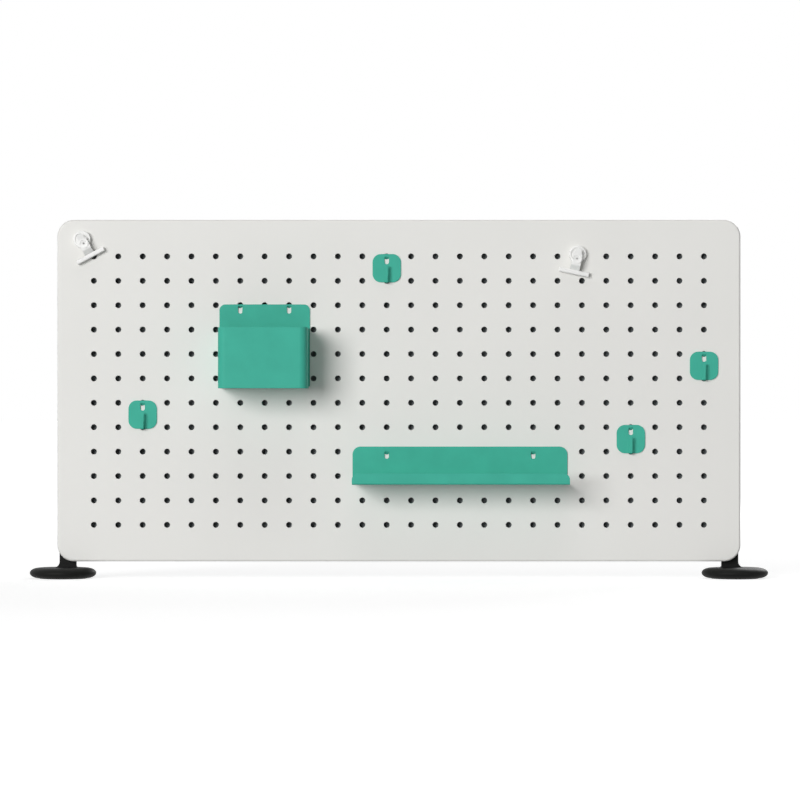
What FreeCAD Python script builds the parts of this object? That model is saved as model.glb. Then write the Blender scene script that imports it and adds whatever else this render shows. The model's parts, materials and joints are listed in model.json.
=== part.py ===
import FreeCAD, Part
import math
import os

os.makedirs("parts", exist_ok=True)

# A steel pegboard that stands on a desk, with hooks, a pen bin, a tray shelf and
# magnetic clips. Millimetres. X runs to the right, Y to the back, Z up. The origin is
# on the desk, in the middle of the whole object's box.

# Fits shared by all pieces
cut_overrun = 1.0          # how far a cutter runs past the faces it opens
running_clearance = 0.05   # between a pin or shank and its hole, on the radius
loose_clearance = 0.2      # between pieces that move past each other
magnet_gap = 0.1           # powder coat between a magnet cup and the board
hang_gap = 0.3             # between a hanging plate and the board's face
match_tolerance = 0.001    # for finding an edge by its place
straight_share = 0.999     # how much of an edge must run along an axis to count as straight

# Board, one steel pan
hole_pitch = 25.0
hole_columns = 26
hole_rows = 12
hole_diameter = 6.0
board_margin_side = 37.5
board_margin_top = 37.5
board_sheet = 1.0
board_depth = 12.0
board_corner_radius = 17.0
board_edge_radius = 2.2
board_lip_width = 22.0
board_lip_corner_radius = 8.0
board_above_desk = 17.6
liner_thickness = 1.0      # dark sheet that closes the pan behind the holes
liner_overlap = 5.0        # how far the liner reaches behind the lip

# Feet, a round plastic shell with a post behind the board
foot_disc_radius = 34.0
foot_disc_beyond_post = 4.4
foot_disc_behind_face = 6.0
foot_disc_top_curve = 9.5      # how far in from the rim the upper curve runs
foot_disc_bottom_curve = 9.0    # how far in from the rim the lower curve runs
foot_disc_nose_height = 5.8
foot_disc_top_height = 11.0
foot_post_width = 17.0
foot_post_depth = 8.0
foot_post_height = 80.0
foot_post_from_side = 9.8       # post's middle to the board's side
foot_post_outer_fillet = 6.0
foot_post_inner_fillet = 2.0
foot_post_top_radius = 3.0
foot_pad_margin = 1.0      # flat ring left round the pad
foot_pad_thickness = 1.5
foot_shell_above_desk = 0.5
foot_weight_margin = 3.0   # ledge left round the weight's pocket
foot_weight_thickness = 3.9

# Foot screws, two in each post
screw_radius = 2.0
screw_head_radius = 3.6
screw_head_height = 2.2
screw_socket_radius = 1.3
screw_socket_depth = 1.2
screw_beyond_nut = 1.4
screws_per_post = 2
screw_above_board_foot = 17.0  # the lowest screw, above the board's lower edge
screw_below_post_top = 15.4    # the highest screw
washer_margin = 0.7        # how far a washer shows round its screw head
washer_thickness = 0.8
nut_across_flats = 7.0
nut_height = 3.2

# Sheet of the hooks, the bin and the shelf, and the tongues that hang them
sheet = 1.0
sheet_edge_radius = 0.35
bend_inside_radius = 1.0
tongue_width = 4.2
tongue_slope = 45.0
tongue_length = 8.0
tongue_seat_clearance = 0.12
window_width = 4.4
window_height = 7.8
window_corner_radius = 0.8
window_foot_radius = 2.0

# Hooks
hook_plate_width = 29.0
hook_plate_height = 29.0
hook_plate_corner_radius = 8.5
hook_plate_above_hole = 2.4
hook_window_below_top = 2.6
hook_finger_width = 2.4
hook_finger_thickness = 1.0
hook_finger_reach = 6.6
hook_finger_below_plate_foot = 0.4
hook_finger_height = 17.4
hook_finger_root_height = 8.0
hook_finger_bend = 1.4
finger_tip_share = 0.45    # of the finger's width, for its round end
hook_hole_places = [(12, 0), (25, 4), (2, 6), (22, 7)]   # hole column and row of each hook

# Pen bin
bin_width = 90.0
bin_height = 61.5
bin_depth = 70.0
bin_corner_radius = 8.0
bin_back_width = 92.6
bin_back_above_rim = 24.5
bin_back_corner_radius = 6.0
bin_back_above_hole = 0.8
bin_window_below_top = 1.6
bin_hole_columns = (6, 8)
bin_hole_row = 2

# Shelf
shelf_width = 220.0
shelf_depth = 65.0
shelf_back_height = 37.8
shelf_back_corner_radius = 8.0
shelf_lip_height = 11.3
shelf_lip_corner_radius = 6.0
shelf_back_above_hole = 5.2
shelf_window_below_top = 4.7
shelf_hole_columns = (12, 18)
shelf_hole_row = 8

# Magnetic clips. Distances down and up are from the middle of the round head.
clip_head_wall = 1.55      # round the magnet cup's pocket
clip_head_web = 1.2        # in front of the pocket
clip_rim_width = 2.0
clip_rim_height = 1.0
rim_round_share = 0.5      # of the rim's height, for its round outer edge
clip_foot_clearance = 0.4
clip_cup_radius = 7.0
clip_cup_depth = 2.9
clip_cup_wall = 0.8
clip_magnet_depth = 2.0
clip_rivet_radius = 1.5
clip_rivet_head_radius = 2.4
clip_rivet_head_height = 0.5
clip_stem_width = 9.6
clip_stem_thickness = 1.8
clip_stem_behind_front = 0.2
clip_bar_length = 31.0
clip_bar_height = 4.6
clip_bar_down = 21.0
clip_bar_thickness = 2.0
clip_bar_edge_radius = 1.3
clip_grip_gap = 0.2
clip_pin_radius = 0.8
clip_pin_down = 8.0
clip_ear_wall = 0.7        # round the pin
clip_ear_thickness = 1.3
clip_knuckle_thickness = 1.2
clip_knuckle_clearance = 0.5   # to the head's rim
clip_jaw_thickness = 1.4
clip_jaw_straight_end_down = 11.0
clip_tab_radius = 3.2
clip_tab_up = 2.5          # middle of the tab's round tip
clip_tab_lean = 1.5
clip_tab_bend_down = 4.0
clip_boss_overhang = 0.1   # past the stem's sides
clip_boss_down = 5.0
clip_boss_height = 0.7
clip_boss_ring_width = 1.3
clip_boss_eye_radius = 1.0
spring_wire_radius = 0.25
spring_turns = 3
spring_turn_pitch = 0.95
spring_back_leg_length = 4.8
spring_front_leg_length = 4.5
spring_gap_points = 240    # on which the gap to itself is measured
jaw_opening = 20.0         # degrees, with the finger tab pressed
clip_left_from_side = 25.6     # head's middle to the board's left side
clip_left_below_top = 20.3     # head's middle to the board's upper edge
clip_left_turn = -28.0         # degrees
clip_right_from_side = 167.0
clip_right_below_top = 35.3
clip_right_turn = 11.5

# Sizes that follow
board_width = hole_pitch * (hole_columns - 1) + 2 * board_margin_side
board_height = hole_pitch * (hole_rows - 1) + 2 * board_margin_top
hole_radius = hole_diameter / 2
foot_pad_radius = foot_disc_radius - foot_disc_bottom_curve - foot_pad_margin
foot_weight_radius = foot_pad_radius - foot_weight_margin
bin_reach = hang_gap + bin_depth
foot_reach = foot_disc_behind_face + foot_disc_radius
board_face_y = (bin_reach - foot_reach) / 2
board_inner_y = board_face_y + board_sheet
board_back_y = board_face_y + board_depth
board_bottom_z = board_above_desk
board_top_z = board_bottom_z + board_height
foot_post_from_middle = board_width / 2 - foot_post_from_side
board_middle_z = board_bottom_z + board_height / 2
plate_back_y = board_face_y - hang_gap
plate_front_y = plate_back_y - sheet


def vector(x, y, z):
    return FreeCAD.Vector(x, y, z)


X_AXIS = vector(1, 0, 0)
Y_AXIS = vector(0, 1, 0)
Z_AXIS = vector(0, 0, 1)


def hole_x(column):
    """Middle of a hole column."""
    return (column - (hole_columns - 1) / 2) * hole_pitch


def hole_z(row):
    """Middle of a hole row, counted from the top."""
    return board_top_z - board_margin_top - row * hole_pitch


def box(x, y, z):
    """A box between two values on each axis."""
    low = vector(min(x), min(y), min(z))
    return Part.makeBox(max(x) - min(x), max(y) - min(y), max(z) - min(z), low)


def rod(radius, start, along):
    """A cylinder that starts at a point and runs along a vector."""
    return Part.makeCylinder(radius, along.Length, start, along)


def join(first, *others):
    """One solid from pieces that overlap or touch."""
    return first.fuse(list(others)).removeSplitter()


def rounded_plate(width, height, radius, centre_x, centre_z, front_y, depth):
    """A plate that faces the viewer, with four round corners."""
    blank = box((centre_x - width / 2, centre_x + width / 2),
                (front_y, front_y + depth),
                (centre_z - height / 2, centre_z + height / 2))
    upright = [edge for edge in blank.Edges if is_along(edge, Y_AXIS)]
    return blank.makeFillet(radius, upright)


def is_along(edge, axis):
    """True for a straight edge that runs along an axis."""
    if not isinstance(edge.Curve, Part.Line):
        return False
    run = edge.lastVertex().Point - edge.firstVertex().Point
    return abs(run.dot(axis)) > run.Length * straight_share


def edges_at_y(shape, y):
    """The edges of a shape that lie in the plane of one Y value."""
    return [edge for edge in shape.Edges
            if max(abs(edge.BoundBox.YMin - y), abs(edge.BoundBox.YMax - y)) < match_tolerance]


def edges_at_z(shape, z):
    """The edges of a shape that lie in the plane of one Z value."""
    return [edge for edge in shape.Edges
            if max(abs(edge.BoundBox.ZMin - z), abs(edge.BoundBox.ZMax - z)) < match_tolerance]


def corner_offcut(x, z, radius, side, y):
    """What rounding takes off an upper corner; side is 1 on the right, -1 on the left."""
    inner_x = x - side * radius
    block = box((inner_x, x + side * cut_overrun), y, (z - radius, z + cut_overrun))
    quarter = rod(radius, vector(inner_x, min(y), z - radius), vector(0, max(y) - min(y), 0))
    return block.cut(quarter)


def round_upper_corners(shape, centre_x, width, top_z, radius, y):
    """Round the two upper corners of an upright sheet."""
    for side in (-1, 1):
        edge_x = centre_x + side * width / 2
        shape = shape.cut(corner_offcut(edge_x, top_z, radius, side, y))
    return shape


def left_of(direction):
    """The unit vector to the left of a direction in a flat outline."""
    return FreeCAD.Vector(-direction.y, direction.x, 0)


def rounded_path(points, radii):
    """Edges along flat points, with an arc of its own radius at each inner point."""
    edges = []
    start = points[0]
    for before, corner, after, radius in zip(points, points[1:], points[2:], radii):
        way_in = (corner - before).normalize()
        way_out = (after - corner).normalize()
        turn = math.acos(max(-1, min(1, way_in.dot(way_out))))
        setback = radius * math.tan(turn / 2)
        arc_start = corner - way_in * setback
        arc_end = corner + way_out * setback
        to_middle = (way_out - way_in).normalize()
        arc_middle = corner + to_middle * (radius / math.cos(turn / 2) - radius)
        edges.append(Part.LineSegment(start, arc_start).toShape())
        edges.append(Part.Arc(arc_start, arc_middle, arc_end).toShape())
        start = arc_end
    edges.append(Part.LineSegment(start, points[-1]).toShape())
    return edges


def bent_strip(points, thickness, inside_radius):
    """The flat face of a strip of sheet that follows points along its right side.

    The sheet lies to the left of the points, as they are walked from first to last."""
    ways = [(b - a).normalize() for a, b in zip(points, points[1:])]
    far_side = [points[0] + left_of(ways[0]) * thickness]
    near_radii = []
    far_radii = []
    for corner, way_in, way_out in zip(points[1:], ways, ways[1:]):
        left_in = left_of(way_in)
        left_out = left_of(way_out)
        far_side.append(corner + (left_in + left_out) * (thickness / (1 + left_in.dot(left_out))))
        turns_left = way_in.cross(way_out).z > 0
        near_radii.append(inside_radius + thickness if turns_left else inside_radius)
        far_radii.append(inside_radius if turns_left else inside_radius + thickness)
    far_side.append(points[-1] + left_of(ways[-1]) * thickness)
    near = rounded_path(points, near_radii)
    far = rounded_path(far_side, far_radii)
    ends = [Part.LineSegment(points[-1], far_side[-1]).toShape(),
            Part.LineSegment(far_side[0], points[0]).toShape()]
    return Part.Face(Part.Wire(Part.__sortEdges__(near + far + ends)))


def stand_side_view(face, centre_x, width):
    """Turn a flat outline drawn as (Y, Z) upright and give it a width along X."""
    upright = face.copy()
    turn = FreeCAD.Placement(FreeCAD.Matrix(0, 0, 1, centre_x - width / 2,
                                            1, 0, 0, 0,
                                            0, 1, 0, 0,
                                            0, 0, 0, 1))
    upright.Placement = turn
    return upright.extrude(X_AXIS * width)


def flat(y, z):
    """A point of a side view, drawn flat."""
    return FreeCAD.Vector(y, z, 0)


def save(node, shape):
    """Write one node's STEP file."""
    shape.exportStep(os.path.join("parts", node + ".step"))


def group(solids):
    """Separate solids in one node."""
    return Part.makeCompound(solids)


def peg_holes():
    """Cutters for every hole of the board."""
    cutters = []
    for column in range(hole_columns):
        for row in range(hole_rows):
            start = vector(hole_x(column), board_face_y - cut_overrun, hole_z(row))
            cutters.append(rod(hole_radius, start, vector(0, board_sheet + 2 * cut_overrun, 0)))
    return group(cutters)


def foot_screw_places():
    """Where the foot screws go through the board's lip, as side, X and Z."""
    low_z = board_bottom_z + screw_above_board_foot
    spacing = (foot_post_height - screw_below_post_top - low_z) / (screws_per_post - 1)
    return [(side, side * foot_post_from_middle, low_z + number * spacing)
            for side in (-1, 1) for number in range(screws_per_post)]


def flat_front():
    """The flat part of the board's front, up to where its edge starts to roll."""
    return rounded_plate(board_width - 2 * board_edge_radius, board_height - 2 * board_edge_radius,
                         board_corner_radius - board_edge_radius, 0, board_middle_z,
                         board_face_y, board_sheet)


def panel_face():
    """The perforated front of the board."""
    return flat_front().cut(peg_holes())


def panel_rim():
    """The rest of the same sheet: rolled edge, side walls and a lip turned in at the back."""
    outer = rounded_plate(board_width, board_height, board_corner_radius,
                          0, board_middle_z, board_face_y, board_depth)
    outer = outer.makeFillet(board_edge_radius, edges_at_y(outer, board_face_y))
    inner = rounded_plate(board_width - 2 * board_sheet, board_height - 2 * board_sheet,
                          board_corner_radius - board_sheet, 0, board_middle_z,
                          board_inner_y, board_depth - 2 * board_sheet)
    inner = inner.makeFillet(board_edge_radius - board_sheet, edges_at_y(inner, board_inner_y))
    opening = rounded_plate(board_width - 2 * board_lip_width, board_height - 2 * board_lip_width,
                            board_lip_corner_radius, 0, board_middle_z,
                            board_back_y - board_sheet - cut_overrun, board_sheet + 2 * cut_overrun)
    screw_holes = [rod(screw_radius + loose_clearance,
                       vector(x, board_back_y - board_sheet - cut_overrun, z),
                       vector(0, board_sheet + 2 * cut_overrun, 0))
                   for side, x, z in foot_screw_places()]
    return outer.cut([inner, opening, flat_front()] + screw_holes)


def liner():
    """The dark sheet slipped in behind the lip, which closes the back of the pan."""
    shorter = 2 * (board_lip_width - liner_overlap)
    return rounded_plate(board_width - shorter, board_height - shorter,
                         board_lip_corner_radius + liner_overlap, 0, board_middle_z,
                         board_back_y - board_sheet - liner_thickness, liner_thickness)


def hexagon_prism(across_flats, x, y, z, depth):
    """A nut blank, flat sides up and down, from a face at y towards the back."""
    corner_reach = across_flats / math.sqrt(3)
    corners = [vector(x + corner_reach * math.cos(math.radians(60 * k)), y,
                      z + corner_reach * math.sin(math.radians(60 * k))) for k in range(7)]
    return Part.Face(Part.makePolygon(corners)).extrude(vector(0, depth, 0))


def weld_nuts():
    """Nuts inside the lip, one for each foot screw."""
    nuts = []
    front_y = board_back_y - board_sheet - nut_height
    for side, x, z in foot_screw_places():
        nut = hexagon_prism(nut_across_flats, x, front_y, z, nut_height)
        bore = rod(screw_radius + running_clearance, vector(x, front_y - cut_overrun, z),
                   vector(0, nut_height + 2 * cut_overrun, 0))
        nuts.append(nut.cut(bore))
    return group(nuts)


def foot_screws():
    """Button-head screws that run through washer, post and lip into the nuts."""
    screws = []
    head_y = board_back_y + foot_post_depth + washer_thickness
    shank = board_sheet + nut_height + screw_beyond_nut + foot_post_depth + washer_thickness
    for side, x, z in foot_screw_places():
        body = rod(screw_radius, vector(x, head_y - shank, z), vector(0, shank, 0))
        head = rod(screw_head_radius, vector(x, head_y, z), vector(0, screw_head_height, 0))
        head = head.makeFillet(screw_head_height / 2, edges_at_y(head, head_y + screw_head_height))
        socket = hexagon_prism(2 * screw_socket_radius, x,
                               head_y + screw_head_height - screw_socket_depth,
                               z, screw_socket_depth + cut_overrun)
        screws.append(join(body, head).cut(socket))
    return group(screws)


def foot_washers():
    """Flat washers between the screw heads and the posts."""
    washers = []
    front_y = board_back_y + foot_post_depth
    for side, x, z in foot_screw_places():
        disc = rod(screw_head_radius + washer_margin, vector(x, front_y, z),
                   vector(0, washer_thickness, 0))
        bore = rod(screw_radius + loose_clearance, vector(x, front_y - cut_overrun, z),
                   vector(0, washer_thickness + 2 * cut_overrun, 0))
        washers.append(disc.cut(bore))
    return group(washers)


def quarter_ellipse(centre, tip, crest):
    """A quarter of an ellipse, from the tip of its long axis to the crest of its short one."""
    return Part.ArcOfEllipse(Part.Ellipse(tip, crest, centre), 0, math.pi / 2).toShape()


def foot_centre(side):
    """The middle of a foot's disc, on the desk."""
    return vector(side * (foot_post_from_middle + foot_disc_beyond_post),
                  board_face_y + foot_disc_behind_face, 0)


def foot_disc(side):
    """A pebble-shaped disc, turned about its upright axis."""
    top_radius = foot_disc_radius - foot_disc_top_curve
    bottom_radius = foot_disc_radius - foot_disc_bottom_curve
    nose = vector(foot_disc_radius, 0, foot_disc_nose_height)
    top_rim = vector(top_radius, 0, foot_disc_top_height)
    top_centre = vector(0, 0, foot_disc_top_height)
    bottom_centre = vector(0, 0, foot_shell_above_desk)
    bottom_rim = vector(bottom_radius, 0, foot_shell_above_desk)
    upper = quarter_ellipse(vector(top_radius, 0, foot_disc_nose_height), nose, top_rim)
    lower = quarter_ellipse(vector(bottom_radius, 0, foot_disc_nose_height), nose, bottom_rim)
    outline = Part.Wire(Part.__sortEdges__([
        Part.LineSegment(bottom_centre, bottom_rim).toShape(), lower, upper,
        Part.LineSegment(top_rim, top_centre).toShape(),
        Part.LineSegment(top_centre, bottom_centre).toShape()]))
    disc = Part.Face(outline).revolve(vector(0, 0, 0), Z_AXIS, 360)
    disc.translate(foot_centre(side))
    return disc


def foot_flare(x, way, radius):
    """The hollow round corner where a side of the post, facing way, runs out into the disc."""
    back_y = board_back_y + foot_post_depth
    top_z = foot_disc_top_height + radius
    corner = box((x - way * cut_overrun, x + way * radius), (board_back_y, back_y),
                 (foot_disc_nose_height, top_z))
    hollow = rod(radius, vector(x + way * radius, board_back_y - cut_overrun, top_z),
                 vector(0, foot_post_depth + 2 * cut_overrun, 0))
    return corner.cut(hollow)


def foot_post(side):
    """The upright post, flared where it meets the disc, more on its outer side."""
    inner_x = side * (foot_post_from_middle - foot_post_width / 2)
    outer_x = side * (foot_post_from_middle + foot_post_width / 2)
    back_y = board_back_y + foot_post_depth
    post = box((inner_x, outer_x), (board_back_y, back_y), (foot_disc_nose_height, foot_post_height))
    top_edges = [edge for edge in post.Edges
                 if is_along(edge, Y_AXIS) and edge.BoundBox.ZMin > foot_disc_top_height]
    post = post.makeFillet(foot_post_top_radius, top_edges)
    return join(post, foot_flare(outer_x, side, foot_post_outer_fillet),
                foot_flare(inner_x, -side, foot_post_inner_fillet))


def foot(side):
    """Disc and post in one, hollowed below for the weight and the pad."""
    centre = foot_centre(side)
    shell = join(foot_disc(side), foot_post(side))
    pad_recess = rod(foot_pad_radius + loose_clearance, centre, Z_AXIS * foot_pad_thickness)
    weight_pocket = rod(foot_weight_radius + loose_clearance, centre,
                        Z_AXIS * (foot_pad_thickness + foot_weight_thickness + loose_clearance))
    screw_holes = [rod(screw_radius + loose_clearance, vector(x, board_back_y - cut_overrun, z),
                       vector(0, foot_post_depth + 2 * cut_overrun, 0))
                   for place_side, x, z in foot_screw_places() if place_side == side]
    return shell.cut([pad_recess, weight_pocket] + screw_holes)


def foot_weight(side):
    """Steel disc inside the foot, kept in by the pad."""
    start = foot_centre(side) + Z_AXIS * foot_pad_thickness
    return rod(foot_weight_radius, start, Z_AXIS * foot_weight_thickness)


def foot_pad(side):
    """Rubber pad under the foot, which stands on the desk."""
    return rod(foot_pad_radius, foot_centre(side), Z_AXIS * foot_pad_thickness)


def tongue(x, z, plate_top_z):
    """A strip that slopes down through a hole, from the front face of a hanging plate."""
    slope = math.radians(tongue_slope)
    chord = math.sqrt(hole_radius ** 2 - (tongue_width / 2) ** 2)
    under_at_inner_y = z - chord + tongue_seat_clearance
    root_z = under_at_inner_y + (board_inner_y - plate_front_y) * math.tan(slope)
    tip_y = plate_front_y + tongue_length * math.cos(slope)
    tip_z = root_z - tongue_length * math.sin(slope)
    corners = [flat(plate_front_y, root_z), flat(tip_y, tip_z),
               flat(tip_y + sheet * math.sin(slope), tip_z + sheet * math.cos(slope)),
               flat(plate_front_y, root_z + sheet / math.cos(slope)),
               flat(plate_front_y, root_z)]
    blade = stand_side_view(Part.Face(Part.makePolygon(corners)), x, tongue_width)
    above_plate = box((x - tongue_width, x + tongue_width),
                      (plate_front_y - cut_overrun, plate_back_y),
                      (plate_top_z, plate_top_z + tongue_length))
    return blade.cut(above_plate)


def window(x, top_z):
    """The slot below a tongue, with a round foot."""
    slot = box((x - window_width / 2, x + window_width / 2),
               (plate_front_y - cut_overrun, plate_back_y + cut_overrun),
               (top_z - window_height, top_z))
    foot_z = top_z - window_height
    upper = [edge for edge in edges_at_z(slot, top_z) if is_along(edge, Y_AXIS)]
    slot = slot.makeFillet(window_corner_radius, upper)
    lower = [edge for edge in edges_at_z(slot, foot_z) if is_along(edge, Y_AXIS)]
    return slot.makeFillet(window_foot_radius, lower)


def hang(plate, holes, top_z, window_below_top):
    """Give a hanging plate its windows and tongues."""
    windows = [window(hole_x(column), top_z - window_below_top) for column, row in holes]
    tongues = [tongue(hole_x(column), hole_z(row), top_z) for column, row in holes]
    return join(plate.cut(windows), *tongues)


def hook_plate(column, row):
    """The square plate of a hook."""
    top_z = hole_z(row) + hook_plate_above_hole
    plate = rounded_plate(hook_plate_width, hook_plate_height, hook_plate_corner_radius,
                          hole_x(column), top_z - hook_plate_height / 2, plate_front_y, sheet)
    plate = plate.makeFillet(sheet_edge_radius, edges_at_y(plate, plate_front_y))
    return hang(plate, [(column, row)], top_z, hook_window_below_top)


def hook_finger(column, row):
    """The bent strip that things hang on, welded to the front of the plate."""
    foot_z = hole_z(row) + hook_plate_above_hole - hook_plate_height - hook_finger_below_plate_foot
    tip_y = plate_front_y - hook_finger_reach
    tip_z = foot_z + hook_finger_height
    points = [flat(tip_y, tip_z), flat(tip_y, foot_z), flat(plate_front_y, foot_z),
              flat(plate_front_y, foot_z + hook_finger_root_height)]
    strip = bent_strip(points, hook_finger_thickness, hook_finger_bend)
    finger = stand_side_view(strip, hole_x(column), hook_finger_width)
    tip_edges = [edge for edge in edges_at_z(finger, tip_z) if is_along(edge, Y_AXIS)]
    return finger.makeFillet(hook_finger_width * finger_tip_share, tip_edges)


def middle_of(columns):
    """Middle, left to right, of some columns of holes."""
    return sum(hole_x(column) for column in columns) / len(columns)


def in_row(columns, row):
    return [(column, row) for column in columns]


def bin_centre_x():
    return middle_of(bin_hole_columns)


def bin_top_z():
    """Upper edge of the bin's back plate."""
    return hole_z(bin_hole_row) + bin_back_above_hole


def bin_wrap():
    """Front and sides of the bin, one strip bent round two corners."""
    centre_x = bin_centre_x()
    rim_z = bin_top_z() - bin_back_above_rim
    left_x = centre_x - bin_width / 2
    right_x = centre_x + bin_width / 2
    front_y = plate_back_y - bin_depth
    points = [vector(left_x, plate_front_y, 0), vector(left_x, front_y, 0),
              vector(right_x, front_y, 0), vector(right_x, plate_front_y, 0)]
    strip = bent_strip(points, sheet, bin_corner_radius - sheet)
    strip.translate(vector(0, 0, rim_z - bin_height))
    wrap = strip.extrude(Z_AXIS * bin_height)
    return wrap.makeFillet(sheet_edge_radius, [edge for edge in edges_at_z(wrap, rim_z)
                                               if edge.BoundBox.YMax < plate_front_y - match_tolerance
                                               or is_along(edge, Y_AXIS)])


def bin_floor_trims(floor_z, floor_front_y):
    """Cutters that narrow the bin's floor to fit inside the wrap and round its front corners."""
    floor_width = bin_width - 2 * sheet - 2 * running_clearance
    corner_radius = bin_corner_radius - sheet - running_clearance
    low_z = floor_z - cut_overrun
    trims = []
    for side in (-1, 1):
        edge_x = bin_centre_x() + side * floor_width / 2
        trims.append(box((edge_x, bin_centre_x() + side * bin_back_width),
                         (floor_front_y - cut_overrun, plate_front_y),
                         (low_z, floor_z + sheet + bend_inside_radius)))
        round_x = edge_x - side * corner_radius
        round_y = floor_front_y + corner_radius
        corner = box((round_x, edge_x + side * cut_overrun), (floor_front_y - cut_overrun, round_y),
                     (low_z, floor_z + sheet + cut_overrun))
        trims.append(corner.cut(rod(corner_radius, vector(round_x, round_y, low_z),
                                    Z_AXIS * (sheet + 2 * cut_overrun))))
    return trims


def bin_back():
    """Back plate and floor of the bin, one sheet bent at the bottom."""
    top_z = bin_top_z()
    floor_z = top_z - bin_back_above_rim - bin_height
    floor_front_y = plate_back_y - bin_depth + sheet + running_clearance
    points = [flat(floor_front_y, floor_z), flat(plate_back_y, floor_z), flat(plate_back_y, top_z)]
    bent = stand_side_view(bent_strip(points, sheet, bend_inside_radius), bin_centre_x(),
                           bin_back_width)
    bent = bent.cut(bin_floor_trims(floor_z, floor_front_y))
    bent = round_upper_corners(bent, bin_centre_x(), bin_back_width, top_z,
                               bin_back_corner_radius,
                               (plate_front_y - cut_overrun, plate_back_y + cut_overrun))
    return hang(bent, in_row(bin_hole_columns, bin_hole_row), top_z, bin_window_below_top)


def shelf():
    """Back plate, floor and front lip of the shelf, one sheet with two bends."""
    centre_x = middle_of(shelf_hole_columns)
    top_z = hole_z(shelf_hole_row) + shelf_back_above_hole
    floor_z = top_z - shelf_back_height
    front_y = plate_back_y - shelf_depth
    lip_top_z = floor_z + shelf_lip_height
    points = [flat(front_y, lip_top_z), flat(front_y, floor_z), flat(plate_back_y, floor_z),
              flat(plate_back_y, top_z)]
    tray = stand_side_view(bent_strip(points, sheet, bend_inside_radius), centre_x, shelf_width)
    tray = round_upper_corners(tray, centre_x, shelf_width, top_z, shelf_back_corner_radius,
                               (plate_front_y - cut_overrun, plate_back_y + cut_overrun))
    tray = round_upper_corners(tray, centre_x, shelf_width, lip_top_z, shelf_lip_corner_radius,
                               (front_y - cut_overrun, front_y + sheet + cut_overrun))
    return hang(tray, in_row(shelf_hole_columns, shelf_hole_row), top_z, shelf_window_below_top)


# A clip is drawn upright, its head's middle on the board's face at the origin, and then
# turned and moved to its place. Its Y values are negative, towards the viewer.
clip_back_y = -clip_foot_clearance
clip_cup_back_y = -magnet_gap
clip_cup_front_y = clip_cup_back_y - clip_cup_depth
clip_pocket_front_y = clip_cup_front_y - loose_clearance
clip_head_front_y = clip_pocket_front_y - clip_head_web
clip_head_radius = clip_cup_radius + loose_clearance + clip_head_wall
clip_rim_front_y = clip_head_front_y - clip_rim_height
clip_stem_front_y = clip_head_front_y + clip_stem_behind_front
clip_stem_back_y = clip_stem_front_y + clip_stem_thickness
clip_ear_radius = clip_pin_radius + clip_ear_wall
clip_knuckle_radius = clip_ear_radius + loose_clearance
clip_pin_y = clip_rim_front_y - clip_knuckle_clearance - clip_knuckle_radius
clip_jaw_back_y = clip_pin_y - clip_knuckle_radius
clip_jaw_middle_y = clip_jaw_back_y - clip_jaw_thickness / 2
clip_jaw_front_y = clip_jaw_back_y - clip_jaw_thickness
clip_bar_top_z = -clip_bar_down + clip_bar_height
clip_jaw_bar_back_y = clip_stem_front_y - clip_grip_gap
clip_ear_outer_x = clip_stem_width / 2
clip_ear_inner_x = clip_ear_outer_x - clip_ear_thickness
clip_knuckle_outer_x = clip_ear_inner_x - loose_clearance
clip_knuckle_inner_x = clip_knuckle_outer_x - clip_knuckle_thickness
clip_boss_radius = clip_stem_width / 2 + clip_boss_overhang
spring_coil_radius = clip_pin_radius + loose_clearance + spring_wire_radius


def clip_bar(front_y, back_y):
    """One cross bar, with its long upper and lower edges rounded."""
    bar = box((-clip_bar_length / 2, clip_bar_length / 2), (front_y, back_y),
              (-clip_bar_down, clip_bar_top_z))
    return bar.makeFillet(clip_bar_edge_radius, edges_at_y(bar, front_y))


def clip_cup():
    """Steel cup round the magnet, riveted into the head so that the clip can turn on it."""
    cup = rod(clip_cup_radius, vector(0, clip_cup_front_y, 0), Y_AXIS * clip_cup_depth)
    hollow = rod(clip_cup_radius - clip_cup_wall, vector(0, clip_cup_back_y - clip_magnet_depth, 0),
                 Y_AXIS * (clip_magnet_depth + cut_overrun))
    rivet_end_y = clip_head_front_y - loose_clearance - clip_rivet_head_height
    shank = rod(clip_rivet_radius, vector(0, rivet_end_y, 0),
                Y_AXIS * (clip_cup_front_y - rivet_end_y))
    head = rod(clip_rivet_head_radius, vector(0, rivet_end_y, 0), Y_AXIS * clip_rivet_head_height)
    return join(cup.cut(hollow), shank, head)


def clip_magnet():
    """Round magnet, flush with the cup's rim."""
    return rod(clip_cup_radius - clip_cup_wall - running_clearance,
               vector(0, clip_cup_back_y - clip_magnet_depth, 0), Y_AXIS * clip_magnet_depth)


def clip_pin_hole():
    """Cutter for the pivot pin's hole."""
    return rod(clip_pin_radius + running_clearance,
               vector(-clip_stem_width, clip_pin_y, -clip_pin_down), X_AXIS * 2 * clip_stem_width)


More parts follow.
